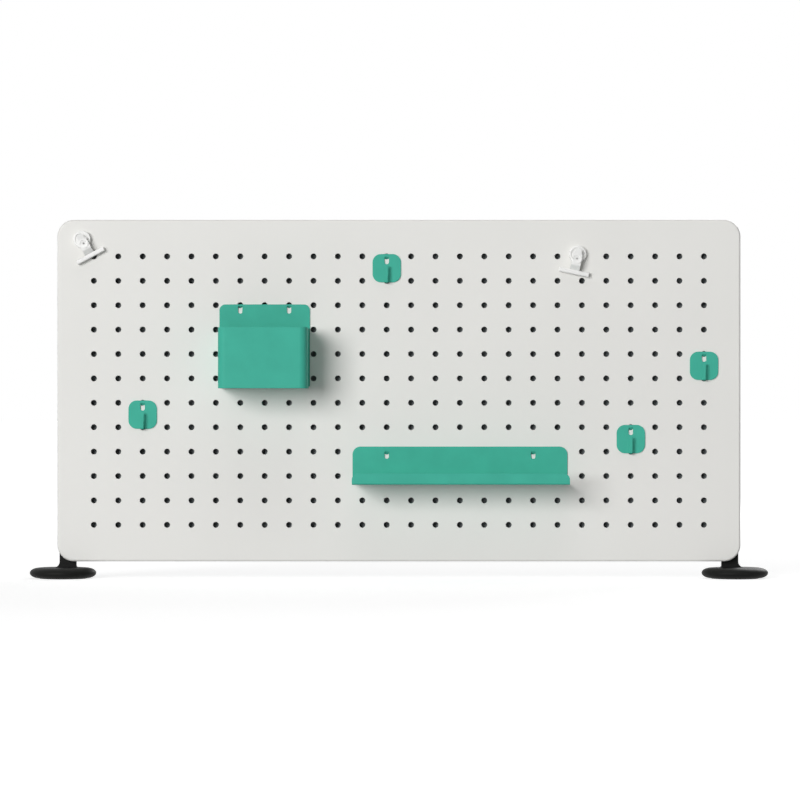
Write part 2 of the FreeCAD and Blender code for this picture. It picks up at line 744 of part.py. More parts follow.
def clip_back_arm():
    """Round head, stem and rear bar, with two ears for the pin."""
    head = rod(clip_head_radius, vector(0, clip_rim_front_y, 0),
               Y_AXIS * (clip_back_y - clip_rim_front_y))
    rounded = clip_rim_height * rim_round_share
    head = head.makeFillet(rounded, edges_at_y(head, clip_rim_front_y))
    dish = rod(clip_head_radius - clip_rim_width, vector(0, clip_rim_front_y - cut_overrun, 0),
               Y_AXIS * (clip_rim_height + cut_overrun))
    stem = box((-clip_stem_width / 2, clip_stem_width / 2), (clip_stem_front_y, clip_stem_back_y),
               (-clip_bar_down, 0))
    ears = []
    for inner_x in (-clip_ear_outer_x, clip_ear_inner_x):
        start = vector(inner_x, clip_pin_y, -clip_pin_down)
        ears.append(rod(clip_ear_radius, start, X_AXIS * clip_ear_thickness))
        ears.append(box((inner_x, inner_x + clip_ear_thickness), (clip_pin_y, clip_stem_back_y),
                        (-clip_pin_down - clip_ear_radius, -clip_pin_down + clip_ear_radius)))
    bar = clip_bar(clip_stem_front_y, clip_stem_front_y + clip_bar_thickness)
    pocket = rod(clip_cup_radius + loose_clearance, vector(0, clip_pocket_front_y, 0),
                 Y_AXIS * (clip_back_y + cut_overrun - clip_pocket_front_y))
    rivet_hole = rod(clip_rivet_radius + running_clearance,
                     vector(0, clip_head_front_y - cut_overrun, 0),
                     Y_AXIS * (clip_head_web + 2 * cut_overrun))
    return join(head.cut(dish), stem, bar, *ears).cut([pocket, rivet_hole, clip_pin_hole()])


def clip_tab_outline(front_y, through):
    """Cutter for the finger tab: a round tip with straight sides that touch the boss."""
    sine = (clip_boss_radius - clip_tab_radius) / (clip_tab_up + clip_boss_down)
    cosine = math.sqrt(1 - sine ** 2)
    tip_x, tip_z = clip_tab_radius * cosine, clip_tab_up + clip_tab_radius * sine
    foot_x, foot_z = clip_boss_radius * cosine, clip_boss_radius * sine - clip_boss_down
    corners = [vector(-foot_x, front_y, foot_z), vector(foot_x, front_y, foot_z),
               vector(tip_x, front_y, tip_z), vector(-tip_x, front_y, tip_z),
               vector(-foot_x, front_y, foot_z)]
    sides = Part.Face(Part.makePolygon(corners)).extrude(through)
    return join(sides, rod(clip_tab_radius, vector(0, front_y, clip_tab_up), through))


def clip_jaw_blade():
    """Stem and finger tab of the jaw: a bent strip, cut to its outline seen from the front."""
    points = [flat(clip_jaw_bar_back_y, clip_bar_top_z),
              flat(clip_jaw_back_y, -clip_jaw_straight_end_down),
              flat(clip_jaw_back_y, -clip_tab_bend_down),
              flat(clip_jaw_back_y - clip_tab_lean, clip_tab_up + clip_tab_radius)]
    strip = stand_side_view(bent_strip(points, clip_jaw_thickness, clip_jaw_thickness),
                            0, 2 * clip_boss_radius)
    front_y = strip.BoundBox.YMin
    through = Y_AXIS * -front_y
    tab = clip_tab_outline(front_y, through)
    stem = box((-clip_stem_width / 2, clip_stem_width / 2), (front_y, 0), (-clip_bar_down, 0))
    boss_blank = rod(clip_boss_radius, vector(0, front_y, -clip_boss_down), through)
    return strip.common(join(tab, stem, boss_blank))


def clip_jaw_boss():
    """Raised ring on the front of the jaw."""
    front_y = clip_jaw_front_y - clip_boss_height
    start = vector(0, front_y, -clip_boss_down)
    ring = rod(clip_boss_radius, start, Y_AXIS * (clip_jaw_middle_y - front_y))
    dish = rod(clip_boss_radius - clip_boss_ring_width, start - Y_AXIS * cut_overrun,
               Y_AXIS * (clip_boss_height + cut_overrun))
    return ring.cut(dish)


def clip_jaw_eye():
    """Cutter for the small hole in the middle of the boss."""
    start = vector(0, clip_jaw_front_y - clip_boss_height, -clip_boss_down)
    return rod(clip_boss_eye_radius, start, Y_AXIS * (clip_pin_y - start.y))


def clip_jaw():
    """Finger tab, stem and front bar, with two knuckles on the pin."""
    knuckles = []
    for inner_x in (-clip_knuckle_outer_x, clip_knuckle_inner_x):
        start = vector(inner_x, clip_pin_y, -clip_pin_down)
        knuckles.append(rod(clip_knuckle_radius, start, X_AXIS * clip_knuckle_thickness))
        knuckles.append(box((inner_x, inner_x + clip_knuckle_thickness),
                            (clip_jaw_middle_y, clip_pin_y),
                            (-clip_pin_down - clip_knuckle_radius,
                             -clip_pin_down + clip_knuckle_radius)))
    bar = clip_bar(clip_jaw_bar_back_y - clip_bar_thickness, clip_jaw_bar_back_y)
    heel = box((-clip_stem_width / 2, clip_stem_width / 2),
               (clip_jaw_bar_back_y - clip_jaw_thickness, clip_jaw_bar_back_y),
               (clip_bar_top_z - clip_jaw_thickness, clip_bar_top_z))
    jaw = join(clip_jaw_blade(), bar, heel, clip_jaw_boss(), *knuckles)
    return jaw.cut([clip_pin_hole(), clip_jaw_eye()])


def clip_pin():
    """Pivot pin through ears and knuckles."""
    return rod(clip_pin_radius, vector(-clip_stem_width / 2, clip_pin_y, -clip_pin_down),
               X_AXIS * clip_stem_width)


def tangent_arc(start, way, end):
    """An arc that leaves start along a direction and ends at a point."""
    chord = end - start
    reach = chord.Length ** 2 / (2 * chord.dot(way))
    handle = start + way * reach
    chord_middle = (start + end) / 2
    half_turn_cosine = chord.Length / 2 / reach
    arc_middle = chord_middle + (handle - chord_middle) * (half_turn_cosine / (1 + half_turn_cosine))
    return Part.Arc(start, arc_middle, end).toShape()


def two_arcs(start, way_start, end, way_end):
    """Two arcs in one smooth run between two points with known directions."""
    chord = end - start
    ways = way_start + way_end
    slack = 2 * (1 - way_start.dot(way_end))
    along = chord.dot(ways)
    handle = (-along + math.sqrt(along ** 2 + slack * chord.Length ** 2)) / slack
    meeting = (start + way_start * handle + end - way_end * handle) / 2
    first = tangent_arc(start, way_start, meeting)
    second = tangent_arc(end, way_end * -1, meeting)
    return [first, second]


def least_gap(route, half_turn, wire_radius):
    """Least gap of a wound wire to itself, measured on points of its middle line."""
    points = route.discretize(Number=spring_gap_points)
    skip = math.ceil(half_turn * spring_gap_points / route.Length)
    spans = [(here - there).Length
             for number, here in enumerate(points) for there in points[number + skip:]]
    return min(spans) - 2 * wire_radius


def clip_spring():
    """Torsion spring round the pin: three open turns and two legs."""
    lift = spring_turn_pitch / (2 * math.pi)
    back_leg_room = (clip_head_front_y - running_clearance - spring_wire_radius
                     - clip_pin_y - spring_coil_radius)
    first_angle = math.asin(back_leg_room / spring_back_leg_length)
    last_angle = math.pi + math.radians(jaw_opening) + 2 * math.pi * (spring_turns - 1)
    travel = last_angle - first_angle
    steps = 4 * spring_turns
    first_x = -lift * travel / 2

    def coil_point(angle):
        return vector(first_x + lift * (angle - first_angle),
                      clip_pin_y + spring_coil_radius * math.cos(angle),
                      -clip_pin_down - spring_coil_radius * math.sin(angle))

    def coil_way(angle):
        way = vector(lift, -spring_coil_radius * math.sin(angle),
                     -spring_coil_radius * math.cos(angle))
        return way.normalize()

    angles = [first_angle + travel * step / steps for step in range(steps + 1)]
    edges = []
    for here, there in zip(angles, angles[1:]):
        edges += two_arcs(coil_point(here), coil_way(here), coil_point(there), coil_way(there))
    back_leg_end = coil_point(first_angle) - coil_way(first_angle) * spring_back_leg_length
    front_leg_end = coil_point(last_angle) + coil_way(last_angle) * spring_front_leg_length
    edges.insert(0, Part.LineSegment(back_leg_end, coil_point(first_angle)).toShape())
    edges.append(Part.LineSegment(coil_point(last_angle), front_leg_end).toShape())
    route = Part.Wire(Part.__sortEdges__(edges))
    section = Part.Wire(Part.makeCircle(spring_wire_radius, back_leg_end, coil_way(first_angle)))
    gap = least_gap(route, math.pi * spring_coil_radius, spring_wire_radius)
    print("clip spring, least gap to itself", round(gap, 3))
    return route.makePipeShell([section], True, False)


def place_clip(shape, across, height, turn):
    """Turn a clip piece about its head and move it to its place on the board."""
    placed = shape.copy()
    placed.rotate(vector(0, 0, 0), Y_AXIS, turn)
    placed.translate(vector(across, board_face_y, height))
    return placed


def main():
    save("panel_face", panel_face())
    save("panel_rim", panel_rim())
    save("panel_liner", liner())
    save("panel_weld_nuts", weld_nuts())
    save("foot_screws", foot_screws())
    save("foot_washers", foot_washers())
    for name, side in (("left", -1), ("right", 1)):
        save("foot_" + name, foot(side))
        save("foot_weight_" + name, foot_weight(side))
        save("foot_pad_" + name, foot_pad(side))
    for number, (column, row) in enumerate(hook_hole_places, 1):
        save("hook_%d_plate" % number, hook_plate(column, row))
        save("hook_%d_finger" % number, hook_finger(column, row))
    save("bin_front_and_sides", bin_wrap())
    save("bin_back_and_floor", bin_back())
    save("shelf_tray", shelf())
    clip_pieces = {
        "magnet_cup": clip_cup(), "magnet": clip_magnet(), "back_arm": clip_back_arm(),
        "jaw": clip_jaw(), "pivot_pin": clip_pin(), "spring": clip_spring(),
    }
    clip_places = [
        ("left", clip_left_from_side - board_width / 2, board_top_z - clip_left_below_top,
         clip_left_turn),
        ("right", board_width / 2 - clip_right_from_side, board_top_z - clip_right_below_top,
         clip_right_turn),
    ]
    for name, across, height, turn in clip_places:
        for piece, shape in clip_pieces.items():
            save("clip_%s_%s" % (name, piece), place_clip(shape, across, height, turn))


main()
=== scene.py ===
# %% [markdown]
# # A desktop pegboard, made ready for its picture
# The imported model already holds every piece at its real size: the perforated steel board
# on its two feet, the hooks, the bin, the shelf and the magnetic clips. This notebook
# rebuilds the pieces that the camera looks at most, gives every piece its finish, and
# lights the whole as in a small studio. It starts with the frame, because everything that
# follows takes its place from it. All lengths are in metres.

# %% Load the frame
import json
import math

import bmesh
import bpy
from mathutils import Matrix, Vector


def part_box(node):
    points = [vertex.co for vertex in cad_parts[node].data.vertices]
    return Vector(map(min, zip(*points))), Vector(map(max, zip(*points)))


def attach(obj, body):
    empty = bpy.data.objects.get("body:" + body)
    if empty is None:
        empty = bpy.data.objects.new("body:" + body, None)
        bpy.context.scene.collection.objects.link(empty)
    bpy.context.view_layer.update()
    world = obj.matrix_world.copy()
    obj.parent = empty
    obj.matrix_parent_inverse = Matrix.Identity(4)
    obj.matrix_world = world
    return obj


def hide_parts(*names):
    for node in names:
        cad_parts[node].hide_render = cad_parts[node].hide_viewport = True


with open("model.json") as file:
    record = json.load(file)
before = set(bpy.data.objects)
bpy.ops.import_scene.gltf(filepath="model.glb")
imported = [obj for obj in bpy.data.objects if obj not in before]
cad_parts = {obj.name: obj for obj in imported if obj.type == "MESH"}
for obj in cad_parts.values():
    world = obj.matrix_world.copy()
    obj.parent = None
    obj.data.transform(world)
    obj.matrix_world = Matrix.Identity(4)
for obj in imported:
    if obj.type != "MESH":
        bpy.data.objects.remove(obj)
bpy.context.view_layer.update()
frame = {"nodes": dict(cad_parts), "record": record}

# %% [markdown]
# ## Camera
# The picture was taken straight on from about four metres with a long lens: the board's
# edges stay square, and only the fronts of the bin and the shelf look a little larger
# than their backs. The camera's height is where the view is level, near the middle of
# the board.

# %% Set up the camera
board_face_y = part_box("panel_rim")[0].y
camera_distance = 4.0
camera_across = 0.0011
camera_height = 0.183
lens_mm = 175.7

camera_data = bpy.data.cameras.new("portrait_camera")
camera_data.lens = lens_mm
camera = bpy.data.objects.new("portrait_camera", camera_data)
camera.location = (camera_across, board_face_y - camera_distance, camera_height)
camera.rotation_euler = (math.pi / 2, 0, 0)
bpy.context.scene.collection.objects.link(camera)
bpy.context.scene.camera = camera
print("camera looks at the board from", camera_distance, "m")

# %% [markdown]
# ## Light
# One large soft box stands far away on the left, only a little higher than the board: the
# shadows beside each piece are wide and soft, and those below are short. Its distance makes
# both ends of the board about as bright. Weak lamps on the right and overhead keep the
# shadows open, and one behind lights the back and the floor there. The strengths add up to
# a level at which a colour renders about as it is written.


# %% Place the lamps
def add_lamp(name, place, aim, size, power):
    """A square soft lamp turned towards a point."""
    data = bpy.data.lights.new(name, "AREA")
    data.size = size
    data.energy = power
    lamp = bpy.data.objects.new(name, data)
    lamp.location = place
    lamp.rotation_euler = (Vector(aim) - Vector(place)).to_track_quat("-Z", "Y").to_euler()
    bpy.context.scene.collection.objects.link(lamp)


board_middle = (0, 0, 0.19)
add_lamp("key_lamp", (-4.6, -9.4, 1.9), board_middle, 5.0, 1010)
add_lamp("fill_lamp", (3.2, -2.6, 0.9), board_middle, 1.6, 3)
add_lamp("top_lamp", (0, -0.6, 2.2), board_middle, 1.4, 8)
add_lamp("back_lamp", (1.2, 2.4, 1.4), board_middle, 1.2, 34)

# %% [markdown]
# ## Floor and background
# The floor is one large pale plane. The camera sees it lifted to white, as in a catalogue,
# but only where it is lit: a share of its own shading stays, and with it the object's
# shadow. The lift grows with the distance from the object, because the lamps hardly reach
# the far floor. Upwards it sheds an even, weak light, which brightens the lower edges, as
# a pale table does. Rays from the camera that miss the floor see a white world, and so do
# reflections, while the light that the world sheds on the object stays soft and low.


# %% Make the floor and the world
def add_node(tree, kind, **settings):
    """A shader or geometry node with some of its settings."""
    node = tree.nodes.new(kind)
    for key, value in settings.items():
        setattr(node, key, value)
    return node


def seen_directly(tree):
    """1 for rays from the camera or by way of a mirror or glass, else 0."""
    path = add_node(tree, "ShaderNodeLightPath")
    total = path.outputs["Is Camera Ray"]
    for other in ("Is Glossy Ray", "Is Transmission Ray"):
        larger = add_node(tree, "ShaderNodeMath", operation="MAXIMUM")
        tree.links.new(total, larger.inputs[0])
        tree.links.new(path.outputs[other], larger.inputs[1])
        total = larger.outputs[0]
    return total


floor_size = 60
floor_glow_near = 0.72
floor_glow_far = 0.985
floor_far = 5
floor_own_share = 0.6
floor_bounce = 0.3


def floor_material():
    """Pale floor that keeps a share of its shading under an even glow."""
    material = bpy.data.materials.new("pale_floor")
    material.use_nodes = True
    tree = material.node_tree
    tree.nodes.clear()
    bounce = add_node(tree, "ShaderNodeEmission")
    bounce.inputs["Strength"].default_value = floor_bounce
    shaded = add_node(tree, "ShaderNodeBsdfDiffuse")
    shaded.inputs["Color"].default_value = (floor_own_share,) * 3 + (1,)
    place = add_node(tree, "ShaderNodeTexCoord").outputs["Object"]
    away = add_node(tree, "ShaderNodeVectorMath", operation="LENGTH")
    tree.links.new(place, away.inputs[0])
    level = add_node(tree, "ShaderNodeMapRange", interpolation_type="SMOOTHSTEP")
    level.inputs["From Max"].default_value = floor_far
    level.inputs["To Min"].default_value = floor_glow_near
    level.inputs["To Max"].default_value = floor_glow_far
    tree.links.new(away.outputs["Value"], level.inputs["Value"])
    glow = add_node(tree, "ShaderNodeEmission")
    tree.links.new(level.outputs[0], glow.inputs["Strength"])
    lifted = add_node(tree, "ShaderNodeAddShader")
    choice = add_node(tree, "ShaderNodeMixShader")
    output = add_node(tree, "ShaderNodeOutputMaterial")
    tree.links.new(shaded.outputs[0], lifted.inputs[0])
    tree.links.new(glow.outputs[0], lifted.inputs[1])
    tree.links.new(seen_directly(tree), choice.inputs[0])
    tree.links.new(bounce.outputs[0], choice.inputs[1])
    tree.links.new(lifted.outputs[0], choice.inputs[2])
    tree.links.new(choice.outputs[0], output.inputs["Surface"])
    return material


def add_object(name, mesh):
    """Link a mesh into the scene under a name."""
    piece = bpy.data.objects.new(name, mesh)
    bpy.context.scene.collection.objects.link(piece)
    return piece


floor_mesh = bpy.data.meshes.new("floor")
half = floor_size / 2
floor_mesh.from_pydata([(-half, -half, 0), (half, -half, 0), (half, half, 0), (-half, half, 0)],
                       [], [(0, 1, 2, 3)])
floor_mesh.materials.append(floor_material())
floor = add_object("floor", floor_mesh)

world_light = 0.05
world = bpy.data.worlds.new("white_room")
bpy.context.scene.world = world
world.use_nodes = True
background = world.node_tree.nodes["Background"]
room_level = add_node(world.node_tree, "ShaderNodeMapRange")
room_level.inputs["To Min"].default_value = world_light
room_level.inputs["To Max"].default_value = 1
world.node_tree.links.new(seen_directly(world.node_tree), room_level.inputs["Value"])
world.node_tree.links.new(room_level.outputs[0], background.inputs["Strength"])
background.inputs["Color"].default_value = (1, 1, 1, 1)
bpy.context.scene.view_settings.view_transform = "Standard"

# %% [markdown]
# ## Finishes
# Powder coat is a paint that is baked from dust: from a step away it is even and satin,
# close up it has the skin of an orange. Moulded plastic carries the fine grain of its
# mould, and plated steel the faint lines of rolling. Each finish is noise at the real
# scale of that grain, read from Object coordinates, so it stays on the piece when the
# piece moves. One function makes them all, because they differ only in their numbers.


# %% The finish maker
noise_low, noise_high = 0.3, 0.7
roughness_change = 0.12
fine_detail = 3.0


def noise_at(tree, coordinates, grain, detail=2.0, stretch=(1, 1, 1)):
    """Noise whose lumps are about one grain across, drawn out along the stretched axes."""
    mapping = add_node(tree, "ShaderNodeMapping")
    mapping.inputs["Scale"].default_value = stretch
    noise = add_node(tree, "ShaderNodeTexNoise")
    noise.inputs["Scale"].default_value = 1 / grain
    noise.inputs["Detail"].default_value = detail
    tree.links.new(coordinates, mapping.inputs["Vector"])
    tree.links.new(mapping.outputs[0], noise.inputs["Vector"])
    return noise.outputs["Fac"]


def to_range(tree, value, low, high):
    """Spread the middle part of a noise over a range."""
    spread = add_node(tree, "ShaderNodeMapRange")
    spread.inputs["From Min"].default_value = noise_low
    spread.inputs["From Max"].default_value = noise_high
    spread.inputs["To Min"].default_value = low
    spread.inputs["To Max"].default_value = high
    tree.links.new(value, spread.inputs["Value"])
    return spread.outputs[0]


def relief_of(tree, height, depth, below=None):
    """A bump of some depth, laid over another one."""
    bump = add_node(tree, "ShaderNodeBump")
    bump.inputs["Distance"].default_value = depth
    tree.links.new(height, bump.inputs["Height"])
    if below:
        tree.links.new(below, bump.inputs["Normal"])
    return bump.outputs[0]


def make_finish(name, colour, roughness, grain, grain_depth, cloud=0.05, cloud_change=0.04,
                metallic=0.0, coat=0.0, gloss=0.5, stretch=(1, 1, 1), skin=0.002,
                skin_depth=0.0):
    """A finish with clouds of colour, uneven gloss and two scales of relief."""
    material = bpy.data.materials.new(name)
    material.use_nodes = True
    tree = material.node_tree
    shader = tree.nodes["Principled BSDF"]
    shader.inputs["Metallic"].default_value = metallic
    shader.inputs["Coat Weight"].default_value = coat
    shader.inputs["Specular IOR Level"].default_value = gloss
    coordinates = add_node(tree, "ShaderNodeTexCoord").outputs["Object"]
    tint = add_node(tree, "ShaderNodeMix", data_type="RGBA")
    for end, change in (("A", 1 - cloud_change), ("B", 1 + cloud_change)):
        tint.inputs[end].default_value = tuple(min(1, c * change) for c in colour) + (1,)
    tree.links.new(to_range(tree, noise_at(tree, coordinates, cloud), 0, 1),
                   tint.inputs["Factor"])
    tree.links.new(tint.outputs["Result"], shader.inputs["Base Color"])
    fine = noise_at(tree, coordinates, grain, fine_detail, stretch)
    uneven = to_range(tree, fine, roughness * (1 - roughness_change),
                      roughness * (1 + roughness_change))
    tree.links.new(uneven, shader.inputs["Roughness"])
    skin_relief = relief_of(tree, noise_at(tree, coordinates, skin), skin_depth)
    tree.links.new(relief_of(tree, fine, grain_depth, skin_relief), shader.inputs["Normal"])
    return material


# In each: name, colour, roughness, width of the grain, depth of the grain.
finishes = {
    "white_coat": make_finish(
        "white_powder_coat", (0.785, 0.78, 0.752), 0.48, 0.0006, 0.00002, cloud=0.12,
        cloud_change=0.012, gloss=0.4, skin_depth=0.00003),
    "green_coat": make_finish(
        "green_powder_coat", (0.055, 0.432, 0.323), 0.58, 0.0005, 0.00003, cloud=0.02,
        cloud_change=0.04, gloss=0.15, skin=0.0016, skin_depth=0.00004),
    # The liner is a dark sheet behind the board that stands in for the shade seen through the
    # holes: painted shade.
    "liner_black": make_finish(
        "charcoal_liner_sheet", (0.26, 0.285, 0.295), 0.7, 0.0008, 0.00004, cloud=0.008,
        cloud_change=0.08, gloss=0.3),
    "foot_black": make_finish(
        "black_moulded_plastic", (0.009, 0.009, 0.0087), 0.55, 0.0004, 0.00003, cloud=0.02,
        cloud_change=0.1, gloss=0.08, skin_depth=0.00002),
    "pad_rubber": make_finish(
        "grip_rubber", (0.016, 0.016, 0.016), 0.85, 0.0003, 0.00005, cloud=0.01,
        cloud_change=0.15, gloss=0.25),
    "zinc_plate": make_finish(
        "zinc_plated_steel", (0.6, 0.61, 0.63), 0.34, 0.0003, 0.00001, cloud=0.004,
        cloud_change=0.08, metallic=1.0),
    "black_zinc": make_finish(
        "black_zinc_steel", (0.07, 0.07, 0.075), 0.38, 0.0003, 0.00001, cloud=0.004,
        cloud_change=0.1, metallic=1.0),
    "clip_white": make_finish(
        "white_clip_plastic", (0.86, 0.86, 0.845), 0.3, 0.0004, 0.00001, cloud=0.02,
        cloud_change=0.015, coat=0.15),
    "cup_nickel": make_finish(
        "nickel_plated_cup", (0.62, 0.6, 0.56), 0.25, 0.0003, 0.000005, cloud=0.005,
        metallic=1.0),
    "magnet_nickel": make_finish(
        "nickel_plated_magnet", (0.48, 0.47, 0.45), 0.22, 0.0003, 0.000005, cloud=0.005,
        metallic=1.0),
    "pin_steel": make_finish(
        "drawn_steel", (0.66, 0.66, 0.66), 0.28, 0.0002, 0.000005, cloud=0.004,
        metallic=1.0, stretch=(0.1, 1, 1)),
}
print("finishes:", len(finishes))

# %% [markdown]
# ## Give every solid its finish
# The record says which finish each node has, so a loop hands them out. Nodes whose shape
# is right stay as they are. The rest are hidden later, when a detailed piece stands in
# their place.

# %% Paint the nodes
slot_of_node = {row["node"]: row["material_slot"] for row in frame["record"]["subparts"]}
for node, slot in slot_of_node.items():
    for material_slot in frame["nodes"][node].material_slots:
        material_slot.material = finishes[slot]
print("nodes painted:", len(slot_of_node))

# %% [markdown]
# ## Soften the moulded pieces
# No moulded or pressed edge is quite sharp. The nodes of the clips and the feet keep their
# shape, and modifiers soften them: Weld joins their loose triangles, Bevel rounds each
# sharp edge by a fraction of a millimetre, so that it catches a line of light, and the
# weighted normals keep the flats beside it even.

# %% Round the sharp edges of some nodes
weld_distance = 0.000002
bevel_segments = 2
bevel_angle = math.radians(50)
clip_edges = {"back_arm": 0.0002, "jaw": 0.0002, "magnet_cup": 0.0001, "magnet": 0.0001,
              "pivot_pin": 0.0001}
soft_edges = {"clip_%s_%s" % (side, kind): width
              for side in ("left", "right") for kind, width in clip_edges.items()}
soft_edges.update(foot_left=0.0003, foot_right=0.0003)


def add_bevel(piece, width):
    """Round the edges of a piece that are sharper than the bevel angle."""
    bevel = piece.modifiers.new("edges", "BEVEL")
    bevel.width = width
    bevel.segments = bevel_segments
    bevel.limit_method = "ANGLE"
    bevel.angle_limit = bevel_angle


def add_even_normals(piece):
    """Let the large flats set the shading beside each rounded edge."""
    even = piece.modifiers.new("even", "WEIGHTED_NORMAL")
    even.keep_sharp = True


for node, width in soft_edges.items():
    piece = frame["nodes"][node]
    weld = piece.modifiers.new("joined", "WELD")
    weld.merge_threshold = weld_distance
    add_bevel(piece, width)
    add_even_normals(piece)
    print(node, "edges rounded by, mm:", round(1000 * width, 2))

# %% [markdown]
# ## Small helpers for mesh code
# Most pieces below are built ring by ring: a list of points becomes a ring of vertices,
# and quads join one ring to the next. A modifier's result is baked into the mesh as soon
# as it is made, so that nothing live is left on a piece.


# %% Rings, bridges and baking
def ring(bm, points):
    return [bm.verts.new(point) for point in points]


def bridge(bm, first, second):
    """Quads between two closed rings with as many points."""
    count = len(first)
    for k in range(count):
        bm.faces.new((first[k], first[(k + 1) % count], second[(k + 1) % count], second[k]))


def circle(radius, y, sides):
    """Points of an upright circle."""
    turns = [2 * math.pi * k / sides for k in range(sides)]
    return [(radius * math.cos(t), y, radius * math.sin(t)) for t in turns]


def arc_points(middle, radius, start, end, steps):
    """Points on an arc in a flat drawing, angles in degrees."""
    turns = [math.radians(start + (end - start) * k / steps) for k in range(steps + 1)]
    return [(middle[0] + radius * math.cos(t), middle[1] + radius * math.sin(t)) for t in turns]


def mesh_of(bm, name):
    """Turn a bmesh into a mesh as it is."""
    mesh = bpy.data.meshes.new(name)
    bm.to_mesh(mesh)
    bm.free()
    return mesh


def outward_mesh_of(bm, name):
    """Turn a bmesh into a mesh with its faces pointing outwards."""
    bmesh.ops.recalc_face_normals(bm, faces=bm.faces)
    return mesh_of(bm, name)


def bake_modifiers(piece):
    """Turn what a piece's modifiers show into its own mesh."""
    shown = piece.evaluated_get(bpy.context.evaluated_depsgraph_get())
    mesh = bpy.data.meshes.new_from_object(shown)
    piece.modifiers.clear()
    piece.data = mesh


sharp_edge = math.radians(35)


def shade(piece):
    """Smooth shading that leaves flat faces flat and sharp edges sharp."""
    for polygon in piece.data.polygons:
        polygon.use_smooth = True
    piece.data.set_sharp_from_angle(angle=sharp_edge)
    add_even_normals(piece)
    bake_modifiers(piece)


def finish_piece(piece, slot, body, *nodes):
    """Give a piece its finish and its body, and hide the nodes that it stands for."""
    piece.data.materials.clear()
    piece.data.materials.append(finishes[slot])
    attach(piece, body)
    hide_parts(*nodes)
    print(piece.name, "faces:", len(piece.data.polygons))


# %% [markdown]
# ## A grid that stands upright
# The board's holes and the foot screws both sit on a grid. One Geometry Nodes tree serves
# both: it makes a flat grid of points, stands it up, moves it into place, puts a copy of a
# small mesh on each point and joins the copies. The numbers are its named inputs. The
# copies are made real at the end, because instances don't survive an export.


# %% The grid tree
merge_distance = 0.000005


def link_chain(tree, *nodes):
    """Join the first output of each node to the first input of the next."""
    for before, after in zip(nodes, nodes[1:]):
        tree.links.new(before.outputs[0], after.inputs[0])


def upright_grid_tree():
    """Geometry nodes that repeat an object on an upright grid."""
    tree = bpy.data.node_groups.new("upright_grid", "GeometryNodeTree")
    for name, kind in (("Columns", "Int"), ("Rows", "Int"), ("Pitch across", "Float"),
                       ("Pitch up", "Float"), ("Middle", "Vector"), ("Piece", "Object"),
                       ("Finish", "Material")):
        tree.interface.new_socket(name, in_out="INPUT", socket_type="NodeSocket" + kind)
    tree.interface.new_socket("Mesh", in_out="OUTPUT", socket_type="NodeSocketGeometry")
    given = add_node(tree, "NodeGroupInput")
    grid = add_node(tree, "GeometryNodeMeshGrid")
    for count, pitch, axis in (("Columns", "Pitch across", "X"), ("Rows", "Pitch up", "Y")):
        gaps = add_node(tree, "ShaderNodeMath", operation="SUBTRACT")
        gaps.inputs[1].default_value = 1
        length = add_node(tree, "ShaderNodeMath", operation="MULTIPLY")
        tree.links.new(given.outputs[count], gaps.inputs[0])
        tree.links.new(gaps.outputs[0], length.inputs[0])
        tree.links.new(given.outputs[pitch], length.inputs[1])
        tree.links.new(length.outputs[0], grid.inputs["Size " + axis])
        tree.links.new(given.outputs[count], grid.inputs["Vertices " + axis])
    stand = add_node(tree, "GeometryNodeTransform")
    stand.inputs["Rotation"].default_value = (math.pi / 2, 0, 0)
    copies = add_node(tree, "GeometryNodeInstanceOnPoints")
    piece = add_node(tree, "GeometryNodeObjectInfo")
    real = add_node(tree, "GeometryNodeRealizeInstances")
    merge = add_node(tree, "GeometryNodeMergeByDistance")
    merge.inputs["Distance"].default_value = merge_distance
    paint = add_node(tree, "GeometryNodeSetMaterial")
    output = add_node(tree, "NodeGroupOutput")
    tree.links.new(given.outputs["Middle"], stand.inputs["Translation"])
    tree.links.new(given.outputs["Piece"], piece.inputs["Object"])
    tree.links.new(piece.outputs["Geometry"], copies.inputs["Instance"])
    tree.links.new(given.outputs["Finish"], paint.inputs["Material"])
    link_chain(tree, grid, stand, copies, real, merge, paint, output)
    return tree


def run_tree(name, tree, **values):
    """An object whose mesh is what the tree makes of these inputs."""
    piece = add_object(name, bpy.data.meshes.new(name))
    modifier = piece.modifiers.new("nodes", "NODES")
    modifier.node_group = tree
    for item in tree.interface.items_tree:
        value = values.get(item.name.replace(" ", "_").lower())
        if item.in_out == "INPUT" and value is not None:
            modifier[item.identifier] = value
    bake_modifiers(piece)
    return piece


grid_tree = upright_grid_tree()
print("inputs:", [item.name for item in grid_tree.interface.items_tree])

# %% [markdown]
# ## One hole of the board
# Each hole is punched and then coated, so its edge is a little rounded. The tile is one
# pitch wide: a square of sheet, front and back, with the hole's wall between. Sixteen
# sides are enough for a hole of six millimetres, and three hundred tiles stay light.

# %% The hole tile
hole_pitch = 0.025
hole_radius = 0.003
hole_sides = 16
board_sheet = 0.001
coat_round = 0.0003


def square_like_circle(half_side, y, sides):
    """Points on a square, in the directions of a circle's points."""
    points = []
    for x, _, z in circle(1, y, sides):
        reach = half_side / max(abs(x), abs(z))
        points.append((x * reach, y, z * reach))
    return points


def hole_tile():
    """One square of perforated sheet, its front at zero depth."""
    bm = bmesh.new()
    outlines = [square_like_circle(hole_pitch / 2, 0, hole_sides),
                circle(hole_radius + coat_round, 0, hole_sides),
                circle(hole_radius, coat_round, hole_sides),
                circle(hole_radius, board_sheet, hole_sides),
                square_like_circle(hole_pitch / 2, board_sheet, hole_sides)]
    rings = [ring(bm, outline) for outline in outlines]
    for first, second in zip(rings, rings[1:]):
        bridge(bm, first, second)
    return mesh_of(bm, "hole_tile")


tile = add_object("hole_tile", hole_tile())
print("faces in a tile:", len(tile.data.polygons))

